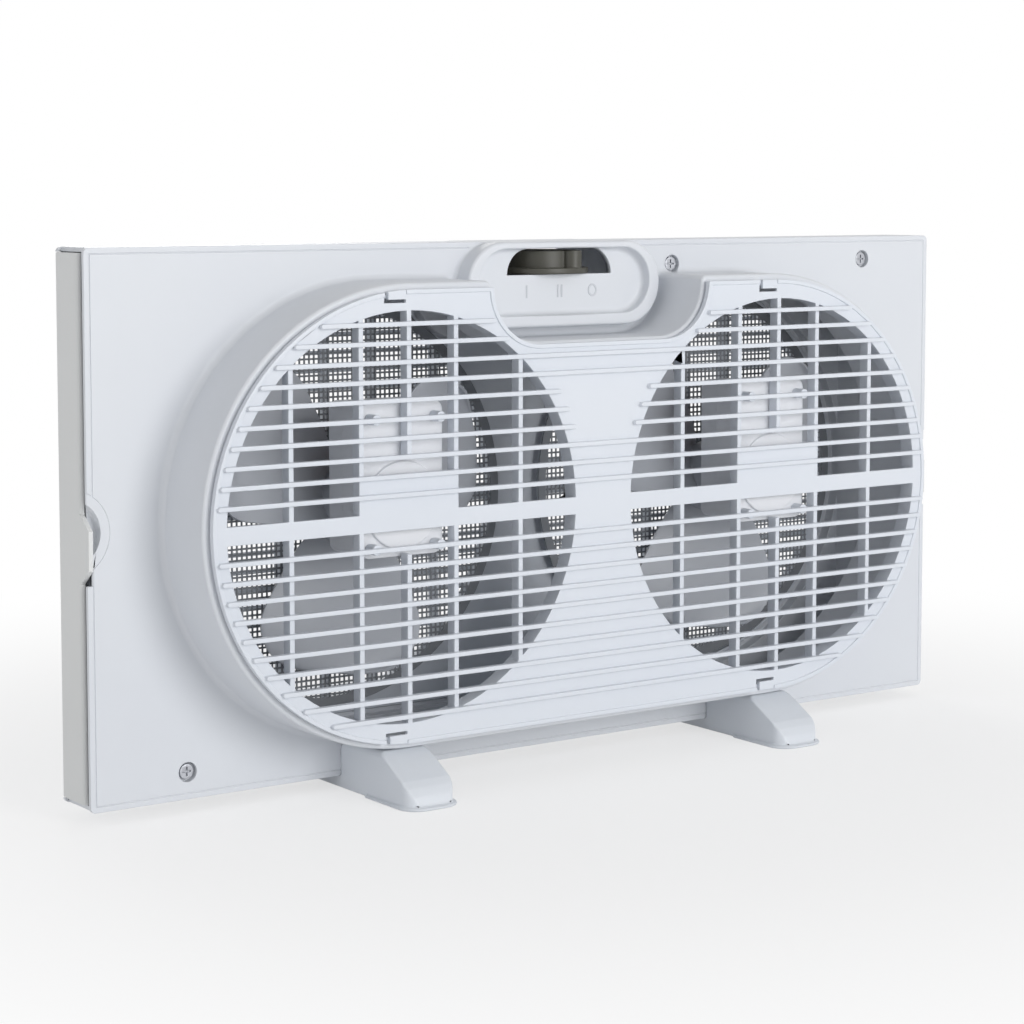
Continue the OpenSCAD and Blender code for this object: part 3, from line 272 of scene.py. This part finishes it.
MATERIALS = {
    "housing": moulded("housing_white", srgb(223, 226, 230), srgb(217, 220, 226)),
    "grille": moulded("grille_white", srgb(223, 227, 233), srgb(216, 221, 229), roughness=0.36),
    "screen": moulded("net_grey", srgb(150, 153, 158), srgb(132, 135, 140), roughness=0.6, grain=0.1),
    "foot": moulded("foot_white", srgb(224, 228, 233), srgb(216, 221, 228)),
    # The covers' own white, made brighter than the housing's with painted light for the strong light that
    # falls on them
    "motor_cover": moulded("cover_white", srgb(238, 239, 242), srgb(231, 233, 237), roughness=0.4),
    "lamination": metal("lacquered_laminations", srgb(120, 122, 126), srgb(84, 86, 90),
                        stretch=(60, 4000, 60), roughness=0.45, metallic=0.8),
    "coil": metal("enamelled_winding", srgb(176, 98, 52), srgb(140, 70, 36),
                  stretch=(3000, 60, 60), roughness=0.3, metallic=0.7),
    "bracket_steel": metal("plated_bracket", srgb(190, 192, 196), srgb(160, 162, 166),
                           stretch=(900, 60, 60), roughness=0.3),
    "bronze": metal("sintered_bronze", srgb(176, 142, 88), srgb(140, 108, 62),
                    stretch=(900, 900, 900), roughness=0.4),
    "lead_jacket": moulded("lead_jacket", srgb(34, 34, 36), srgb(26, 26, 28), roughness=0.5, dust=0.05),
    "shaft_steel": metal("ground_shaft", srgb(200, 202, 206), srgb(176, 178, 184),
                         stretch=(4000, 20, 4000), roughness=0.2),
    "blade": moulded("blade_grey", srgb(199, 202, 208), srgb(189, 193, 200), roughness=0.34, dust=0.08),
    "side_frame": moulded("frame_cream", srgb(228, 229, 228), srgb(220, 221, 220), roughness=0.45),
    "curtain": moulded("curtain_sheet", srgb(196, 200, 206), srgb(184, 188, 195), roughness=0.5),
    # The dial's dark olive is partly its own tone and partly painted shade of the dish it sits deep in
    "dial": moulded("dial_olive", srgb(72, 71, 62), srgb(64, 63, 56)),
    "switch_case": moulded("switch_black", srgb(36, 36, 38), srgb(28, 28, 30), roughness=0.5),
    "gland": moulded("gland_black", srgb(38, 38, 40), srgb(30, 30, 32), roughness=0.6),
    "screw_zinc": metal("zinc_screw", srgb(190, 192, 197), srgb(160, 162, 168),
                        stretch=(600, 600, 600), roughness=0.45),
}


# ---- Building helpers ----

OWN_SMOOTH = 35       # degrees: an edge of the scene's own pieces that bends less shades smooth
MOULDED_SMOOTH = 36   # the same for the rounded copies of the CAD pieces


def spot(x, y, z):
    """Point in the frame from millimetres measured on the panel: y = 0 is its exhaust face."""
    return Vector((x, y + PANEL_FACE, z + PANEL_LOW)) * MM


def everything(bm):
    return bm.verts[:] + bm.edges[:] + bm.faces[:]


def add_object(name, data):
    made = bpy.data.objects.new(name, data)
    bpy.context.scene.collection.objects.link(made)
    return made


def finish_piece(name, bm, body, slot, replaces=(), smooth=OWN_SMOOTH):
    """Object from a bmesh: shaded, given its finish, and set to move with its body."""
    mesh = bpy.data.meshes.new(name)
    bm.to_mesh(mesh)
    bm.free()
    mesh.polygons.foreach_set("use_smooth", [True] * len(mesh.polygons))
    mesh.set_sharp_from_angle(angle=radians(smooth))
    piece = add_object(name, mesh)
    mesh.materials.append(MATERIALS[slot])
    if body:
        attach(piece, body)
    if replaces:
        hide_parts(*replaces)
    return piece


def turned(bm, centre, outline, steps):
    """Ring turned about a line along Y: the outline's points are (radius, depth) from the centre."""
    corners = [bm.verts.new(spot(centre.x + reach, centre.y + depth, centre.z)) for reach, depth in outline]
    edges = [bm.edges.new((corners[k - 1], corners[k])) for k in range(len(corners))]
    before = set(bm.verts)
    bmesh.ops.spin(bm, geom=corners + edges, cent=spot(*centre), axis=(0, 1, 0), angle=2 * pi, steps=steps,
                   use_merge=True)
    made = [vert for vert in bm.verts if vert not in before or vert in corners]
    faces = list({face for vert in made for face in vert.link_faces})
    bmesh.ops.recalc_face_normals(bm, faces=faces)
    return made


def strip(bm, low, high):
    """Box between two corners, added to a bmesh."""
    low, high = Vector(low), Vector(high)
    size = high - low
    place = Matrix.Translation((low + high) / 2) @ Matrix.Diagonal((*size, 1))
    bmesh.ops.create_cube(bm, size=1, matrix=place)


# ---- Rounded copies of the CAD pieces ----

WELD = 0.002 * MM       # points nearer than this are one point
FLAT = radians(1)       # triangles that bend less than this are one face
SHARP = radians(25)     # an edge that bends more than this is rounded
ROUND_SEGMENTS = 2
CELL = 25 * MM          # about how far apart the big faces are cut
CELL_GAP = 4            # a cut lies in the middle of a gap at least this many roundings wide
CUT_SNAP = 1e-7         # a point this near a cut lies on it
SLID_FROM = 3           # a new point this many roundings away from every sharp edge has slid along a face

# Width of each piece's rounding, in millimetres; nothing is rounded at 0
ROUNDING = {
    "exhaust_shell": 0.3, "room_shell": 0.3, "exhaust_grille": 0.35, "room_grille": 0.35, "foot": 1.0,
    "motor_cover": 0.6, "side_frame": 0.3, "speed_dial": 0.6, "blade_nut": 0.4, "stator": 0.2, "coil": 0.8,
    "bearing_brackets": 0.2, "bushes": 0.2, "motor_lead": 0, "armature": 0.3, "shaft": 0.3,
    "dial_spindle": 0.3, "rotary_switch": 0.5, "switch_nut": 0.2, "cord_gland": 0.3, "shell_screws": 0.15,
    "motor_screws": 0.15, "motor_bolts": 0.2, "foot_screws": 0.2,
}


def cell_lines(bm, axis, clear):
    """Where to cut along an axis: about every cell, and well clear of every corner already there."""
    values = sorted({round(vert.co[axis], 6) for vert in bm.verts})
    span = values[-1] - values[0]
    count = max(1, round(span / CELL))
    middles = [(a + b) / 2 for a, b in zip(values, values[1:]) if b - a > clear]
    lines = set()
    for k in range(1, count):
        want = values[0] + span * k / count
        near = [middle for middle in middles if abs(middle - want) < CELL / 2]
        if near:
            lines.add(min(near, key=lambda middle: abs(middle - want)))
    return lines


def cut_into_cells(bm, width):
    """Cuts the big faces along x and z, because one face round many ribs and holes doesn't stay
    whole when its edges move."""
    for axis, across in ((0, (1, 0, 0)), (2, (0, 0, 1))):
        for line in cell_lines(bm, axis, CELL_GAP * width):
            bmesh.ops.bisect_plane(bm, geom=everything(bm), dist=CUT_SNAP, plane_co=Vector(across) * line,
                                   plane_no=across)


def edge_tree(bm, edges):
    """Search tree of edges, each one a triangle without width."""
    bm.verts.index_update()
    ends = [(edge.verts[0].index, edge.verts[1].index, edge.verts[1].index) for edge in edges]
    return BVHTree.FromPolygons([vert.co.copy() for vert in bm.verts], ends)


def round_sharp_edges(bm, width):
    """Bevels the sharp edges. A corner that the bevel threw out goes back to the surface, and one
    that slid along it goes back to its nearest neighbour."""
    skin = BVHTree.FromBMesh(bm)
    sharp = [edge for edge in bm.edges if len(edge.link_faces) == 2 and edge.calc_face_angle(0) > SHARP]
    sharp_edges = edge_tree(bm, sharp)
    old_places = {vert.co.copy().freeze() for vert in bm.verts}
    bmesh.ops.bevel(bm, geom=sharp, offset=width, offset_type="OFFSET", segments=ROUND_SEGMENTS, profile=0.5,
                    affect="EDGES", clamp_overlap=False, material=-1)
    slid = set()
    for vert in bm.verts:
        nearest, _, _, off = skin.find_nearest(vert.co)
        if off > width / 2:
            vert.co = nearest
        elif (sharp_edges.find_nearest(vert.co)[3] > SLID_FROM * width
                and vert.co.copy().freeze() not in old_places):
            slid.add(vert)
    for vert in slid:
        neighbours = [edge.other_vert(vert) for edge in vert.link_edges]
        stayed = [other.co for other in neighbours if other not in slid]
        if stayed:
            vert.co = min(stayed, key=lambda place: (place - vert.co).length)
    bmesh.ops.remove_doubles(bm, verts=bm.verts[:], dist=WELD)


def face_folds_outwards(bm):
    """Triangulates the faces; a corner that a rounding folded over is turned to face as its face does."""
    bm.normal_update()
    source = bm.faces.layers.int.new("source")
    normals = []
    for index, face in enumerate(bm.faces):
        face[source] = index
        normals.append(face.normal.copy())
    bmesh.ops.triangulate(bm, faces=bm.faces[:])
    for face in bm.faces:
        face.normal_update()
        if face.normal.dot(normals[face[source]]) < 0:
            face.normal_flip()
    bm.faces.layers.int.remove(source)


def rounded_copy(node, rounding, body):
    """Copy of a CAD node with its triangles merged into faces and its sharp edges rounded."""
    width = rounding * MM
    bm = bmesh.new()
    bm.from_mesh(frame["nodes"][node].data)
    bmesh.ops.remove_doubles(bm, verts=bm.verts[:], dist=WELD)
    bmesh.ops.dissolve_limit(bm, angle_limit=FLAT, verts=bm.verts[:], edges=bm.edges[:])
    if width:
        cut_into_cells(bm, width)
        round_sharp_edges(bm, width)
        face_folds_outwards(bm)
    piece = finish_piece(node + "_moulded", bm, body, SLOT_OF[node], [node], MOULDED_SMOOTH)
    flats = piece.modifiers.new("Flat faces stay flat", "WEIGHTED_NORMAL")
    flats.keep_sharp = True
    return piece


def rounded_pieces():
    for node in frame["nodes"]:
        kind = node.removesuffix("_left").removesuffix("_right")
        if kind in ROUNDING:
            rounded_copy(node, ROUNDING[kind], BODY_OF[node])


# ---- Rotors ----

# Radii and depths of the hub, in millimetres
HUB_R, HUB_WALL, HUB_FRONT, HUB_DEPTH, HUB_STEPS = 22, 2.2, -2, 25, 72
SLEEVE_R, SHAFT_R = 6, 2.5

BLADES = 3
BLADE_TIP = 96         # reach from the axis
BLADE_MID = 16         # depth of a blade's middle behind the panel's face
BLADE_DEPTH = 25       # depth between a blade's two long edges, before the next line's two limits
PITCH_SHARE, STEEPEST = 0.94, 0.7   # the slope's sine is this share of depth over width, itself capped
BLADE_T = 1.8
ROOT_CHORD, TIP_CHORD = 40, 116
CHORD_GROWTH = 0.8     # under 1, a blade widens fastest near the hub
ROUND_FROM = 0.7       # share of the span past which the corners turn in
ROUND_SHARE = 0.5      # share of the width that they take off at the tip
CAMBER, CAMBER_SHARE, CAMBER_SHIFT = 3, 0.6, 0.3   # bulge of a blade, its growth and its start
REST_TURN = {"left": 95, "right": 94}              # degrees that the first blade is turned by at rest
SPAN_CELLS, CHORD_CELLS = 18, 24
RIM_ROUND, RIM_SEGMENTS, RIM_SHARP = 0.6, 3, 50


def mix(a, b, share):
    return a + (b - a) * share


def half_chord(span):
    tip = max(span - ROUND_FROM, 0) / (1 - ROUND_FROM)
    corners = mix(1, sqrt(max(1 - tip * tip, 0)), ROUND_SHARE)
    return mix(ROOT_CHORD, TIP_CHORD, span ** CHORD_GROWTH) / 2 * corners


def blade_place(side, span, chord, turn):
    """Point on a blade's middle surface: span 0-1 from the hub out, chord -1 to 1 along the edge."""
    reach = mix(HUB_R - HUB_WALL / 2, BLADE_TIP, span)
    half = half_chord(span)
    root = half_chord(max(reach - HUB_R, 0) / (BLADE_TIP - HUB_R))
    pitch = asin(PITCH_SHARE * min(BLADE_DEPTH / (2 * root), STEEPEST))
    angle = chord * half * cos(pitch) / reach - turn
    bulge = CAMBER * (CAMBER_SHARE * (1 - chord * chord) * span - CAMBER_SHIFT)
    depth = BLADE_MID - chord * half * sin(pitch) + bulge
    return ROTOR_AXIS[side] + Vector((reach * cos(angle), depth, reach * sin(angle)))


def petals(side):
    """Three wide petals with round corners; rows of points crowd towards their tips."""
    node = "blades_" + side
    bm = bmesh.new()
    for k in range(BLADES):
        turn = radians(REST_TURN[side] + 360 * k / BLADES)
        grid = bmesh.ops.create_grid(bm, x_segments=CHORD_CELLS, y_segments=SPAN_CELLS, size=1)
        for vert in grid["verts"]:
            span = sin(pi / 4 * (vert.co.y + 1))
            vert.co = spot(*blade_place(side, span, vert.co.x, turn))
    bmesh.ops.recalc_face_normals(bm, faces=bm.faces[:])
    piece = finish_piece("petals_" + side, bm, BODY_OF[node], "blade", [node])
    wall = piece.modifiers.new("Blade thickness", "SOLIDIFY")
    wall.thickness = BLADE_T * MM
    wall.offset = 0
    rim = piece.modifiers.new("Soft blade rim", "BEVEL")
    rim.width = RIM_ROUND * MM
    rim.segments = RIM_SEGMENTS
    rim.limit_method = "ANGLE"
    rim.angle_limit = radians(RIM_SHARP)


def hub(side):
    """Cup with a sleeve for the shaft; it is closed and rounded at the back, and carries the petals."""
    node = "blades_" + side
    back = HUB_FRONT + HUB_DEPTH
    inside = back - HUB_WALL
    outline = [(HUB_R, HUB_FRONT), (HUB_R, back - 2.5), (HUB_R - 0.8, back - 0.7), (HUB_R - 2.6, back),
               (SLEEVE_R + 3, back), (SLEEVE_R + 2, back - 0.8), (SHAFT_R, back - 0.8),
               (SHAFT_R, HUB_FRONT + 0.5), (SHAFT_R + 0.5, HUB_FRONT), (SLEEVE_R, HUB_FRONT),
               (SLEEVE_R, inside), (HUB_R - HUB_WALL, inside), (HUB_R - HUB_WALL, HUB_FRONT)]
    bm = bmesh.new()
    turned(bm, ROTOR_AXIS[side], outline, HUB_STEPS)
    finish_piece("hub_" + side, bm, BODY_OF[node], "blade", [node])


# ---- Pleated side curtains ----

def pleated_curtain(side):
    """The folded sheet, copied without rounding and set to move with no body; in the fan, one end stays in
    the panel and the other goes out with its side frame.
    """
    node = "side_curtain_" + side
    piece = rounded_copy(node, 0, None)
    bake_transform(piece)


# ---- Finger cups ----

# Millimetres on the panel: the side frame's grip tab, the notch's axis, and the cup's own sizes
TAB_X, NOTCH_X, NOTCH_Z, NOTCH_R = 301.6, 315.3, 150, 18.4
CUP_WALL, CUP_RIM, CUP_FLOOR, CUP_CORE, CUP_CORNER, CUP_STEPS = 1.2, 2.4, 7.2, 1, 1, 96


def finger_cup(side):
    """Shallow pale cup behind the finger notch, which ends at the side frame's grip tab."""
    outward = OUTWARD[side]
    back, outside = CUP_FLOOR + CUP_WALL, NOTCH_R + CUP_WALL
    outline = [(CUP_CORE, back), (outside, back), (outside, CUP_RIM), (NOTCH_R, CUP_RIM),
               (NOTCH_R, CUP_FLOOR - CUP_CORNER), (NOTCH_R - CUP_CORNER, CUP_FLOOR), (CUP_CORE, CUP_FLOOR)]
    bm = bmesh.new()
    turned(bm, Vector((outward * NOTCH_X, 0, NOTCH_Z)), outline, CUP_STEPS)
    cut = bmesh.ops.bisect_plane(bm, geom=everything(bm), clear_outer=True,
                                 plane_co=spot(outward * TAB_X, 0, 0), plane_no=(outward, 0, 0))
    rim = [edge for edge in cut["geom_cut"] if isinstance(edge, bmesh.types.BMEdge)]
    bmesh.ops.edgeloop_fill(bm, edges=rim)
    bmesh.ops.recalc_face_normals(bm, faces=bm.faces[:])
    finish_piece("finger_cup_" + side, bm, "root", "housing")


# ---- Marks over the dial ----

# Millimetres on the panel: the dish's floor, the marks' height, and how far they stand in and out of it
DISH_FLOOR, MARK_LOW, MARK_HIGH, MARK_RISE, MARK_SINK = -5, 267, 274.5, 0.35, 0.1
BAR_PLACES, BAR_HALF = (-24, -1.4, 1.4), 0.55
RING_PLACE, RING_INNER, RING_OUTER, RING_STRETCH, RING_STEPS = 24, 2.2, 3.2, 1.2, 48


def dial_marks():
    """Raised marks on the dish: one bar, two bars and a ring, for the dial's three places."""
    face, foot = DISH_FLOOR - MARK_RISE, DISH_FLOOR + MARK_SINK
    bm = bmesh.new()
    for x in BAR_PLACES:
        strip(bm, spot(x - BAR_HALF, face, MARK_LOW), spot(x + BAR_HALF, foot, MARK_HIGH))
    middle = Vector((RING_PLACE, 0, (MARK_LOW + MARK_HIGH) / 2))
    outline = [(RING_INNER, foot), (RING_INNER, face), (RING_OUTER, face), (RING_OUTER, foot)]
    ring = turned(bm, middle, outline, RING_STEPS)
    bmesh.ops.scale(bm, vec=(1, 1, RING_STRETCH), verts=ring, space=Matrix.Translation(-spot(*middle)))
    marks = finish_piece("dial_marks", bm, "root", "housing")
    marks.data.materials[0] = moulded("mark_grey", srgb(208, 211, 216), srgb(200, 203, 209))


# ---- Insect nets ----

NET_PITCH = 3.2 * MM
THREAD = 1.1 * MM
NET_RING = 5.5 * MM     # width of the ring that holds a net
NET_TUCK = 0.1 * MM     # the threads lie this far inside the ring's faces, and cross this deep
NET_STEPS = 96


def bug_net(side):
    """Fine net of crossing threads in a moulded ring, in the place of the coarse CAD net."""
    node = "bug_screen_" + side
    low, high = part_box(node)
    axis = (low + high) / 2
    rim = (high.x - low.x) / 2
    clear = rim - NET_RING
    bm = bmesh.new()
    count = int(clear / NET_PITCH)
    for i in range(-count, count + 1):
        off = i * NET_PITCH
        half = sqrt(max(clear * clear - off * off, 0)) + MM
        strip(bm, (axis.x + off - THREAD / 2, low.y + NET_TUCK, axis.z - half),
              (axis.x + off + THREAD / 2, axis.y, axis.z + half))
        strip(bm, (axis.x - half, axis.y - NET_TUCK, axis.z + off - THREAD / 2),
              (axis.x + half, high.y - NET_TUCK, axis.z + off + THREAD / 2))
    thick = (high.y - low.y) / MM
    ring = [(clear / MM, 0), (rim / MM, 0), (rim / MM, thick), (clear / MM, thick)]
    centre = Vector((axis.x, low.y, axis.z)) / MM - Vector((0, PANEL_FACE, PANEL_LOW))
    turned(bm, centre, ring, NET_STEPS)
    finish_piece("bug_net_" + side, bm, "root", "screen", [node])


# ---- Floor, lamps and camera ----

FLOOR_HALF, FLOOR_TONE = 14, (0.93, 0.93, 0.93, 1)
# Up to the first distance, in metres, the floor shows this share of plain white; past the second, all of it
WHITE_FROM, WHITE_TO, LEAST_WHITE = 0.2, 0.75, 0.6
FILL_TONE, FILL_STRENGTH = (0.97, 0.98, 1, 1), 0.5

LAMP_AIM = Vector((0, 0, 0.15))
LAMPS = (   # name, place, width, power
    ("key", (0.4, -2.2, 0.7), 1.4, 24.5),
    ("side", (-2.6, -0.4, 0.3), 1.2, 7),
    ("rear", (0.5, 2.3, 0.9), 1.6, 15),
)

EYE_PLACE, EYE_YAW, EYE_PITCH = (-0.8888, -1.1908, 0.3376), -35.462, -4.767
FOCAL_PX, SHIFT_PX, FRAME_PX, SENSOR_MM, NEAREST_SEEN = 2532.2, -112, 1024, 36, 0.05


def seen_directly(nodes, links):
    """1 for camera, glossy and transmission rays, which see the backdrop; 0 for the light itself."""
    path = nodes.new("ShaderNodeLightPath")
    both = reckoned(nodes, links, "MAXIMUM", path.outputs["Is Camera Ray"], path.outputs["Is Glossy Ray"])
    return reckoned(nodes, links, "MAXIMUM", both, path.outputs["Is Transmission Ray"])


def pale_floor_material():
    """Matt floor near the fan, which fades to plain white farther off."""
    material, nodes, links, shader = new_material("pale_floor")
    for socket, value in (("Base Color", FLOOR_TONE), ("Roughness", 0.8), ("Specular IOR Level", 0.1)):
        shader.inputs[socket].default_value = value
    white = nodes.new("ShaderNodeEmission")
    white.inputs["Strength"].default_value = 1
    reach = nodes.new("ShaderNodeVectorMath")
    reach.operation = "LENGTH"
    links.new(object_place(nodes), reach.inputs[0])
    fade = nodes.new("ShaderNodeMapRange")
    fade.interpolation_type = "SMOOTHSTEP"
    for socket, value in (("From Min", WHITE_FROM), ("From Max", WHITE_TO), ("To Min", LEAST_WHITE),
                          ("To Max", 1)):
        fade.inputs[socket].default_value = value
    links.new(reach.outputs["Value"], fade.inputs["Value"])
    share = reckoned(nodes, links, "MULTIPLY", seen_directly(nodes, links), fade.outputs["Result"])
    links.new(mixed_shader(nodes, links, share, shader, white), nodes["Material Output"].inputs["Surface"])
    return material


def stage():
    """Pale floor: it takes the fan's soft shadow near the fan, and shows white farther off."""
    bm = bmesh.new()
    bmesh.ops.create_grid(bm, x_segments=1, y_segments=1, size=FLOOR_HALF)
    mesh = bpy.data.meshes.new("floor")
    bm.to_mesh(mesh)
    bm.free()
    mesh.materials.append(pale_floor_material())
    add_object("floor", mesh)


def light_world():
    """White backdrop to look at, and a dimmer, slightly cool fill from all round as light."""
    world = bpy.data.worlds.new("studio")
    bpy.context.scene.world = world
    world.use_nodes = True
    nodes, links = world.node_tree.nodes, world.node_tree.links
    backdrop = nodes["Background"]
    backdrop.inputs["Color"].default_value = (1, 1, 1, 1)
    fill = nodes.new("ShaderNodeBackground")
    fill.inputs["Color"].default_value = FILL_TONE
    fill.inputs["Strength"].default_value = FILL_STRENGTH
    links.new(mixed_shader(nodes, links, seen_directly(nodes, links), fill, backdrop),
              nodes["World Output"].inputs["Surface"])


def lamps():
    """Round soft lamps, all turned to the middle of the fan."""
    for name, place, width, power in LAMPS:
        data = bpy.data.lights.new(name, "AREA")
        data.shape = "DISK"
        data.size = width
        data.energy = power
        lamp = add_object(name, data)
        lamp.location = place
        lamp.rotation_euler = (LAMP_AIM - Vector(place)).to_track_quat("-Z", "Y").to_euler()


def camera():
    """The photograph's view: a long lens from the front left, a little above the fan's middle."""
    data = bpy.data.cameras.new("camera")
    data.sensor_width = SENSOR_MM
    data.lens = FOCAL_PX / FRAME_PX * data.sensor_width
    data.shift_y = SHIFT_PX / FRAME_PX
    data.clip_start = NEAREST_SEEN
    eye = add_object("camera", data)
    eye.location = EYE_PLACE
    eye.rotation_euler = (radians(90 + EYE_PITCH), 0, radians(EYE_YAW))
    bpy.context.scene.camera = eye


def dress_cad_nodes():
    """Finish for every CAD node, also for those that a piece of the scene replaces."""
    for node, piece in frame["nodes"].items():
        piece.data.materials.clear()
        piece.data.materials.append(MATERIALS[SLOT_OF[node]])


bpy.context.scene.view_settings.view_transform = "Standard"
dress_cad_nodes()
rounded_pieces()
dial_marks()
for side in SIDES:
    bug_net(side)
    petals(side)
    hub(side)
    pleated_curtain(side)
    finger_cup(side)
stage()
light_world()
lamps()
camera()
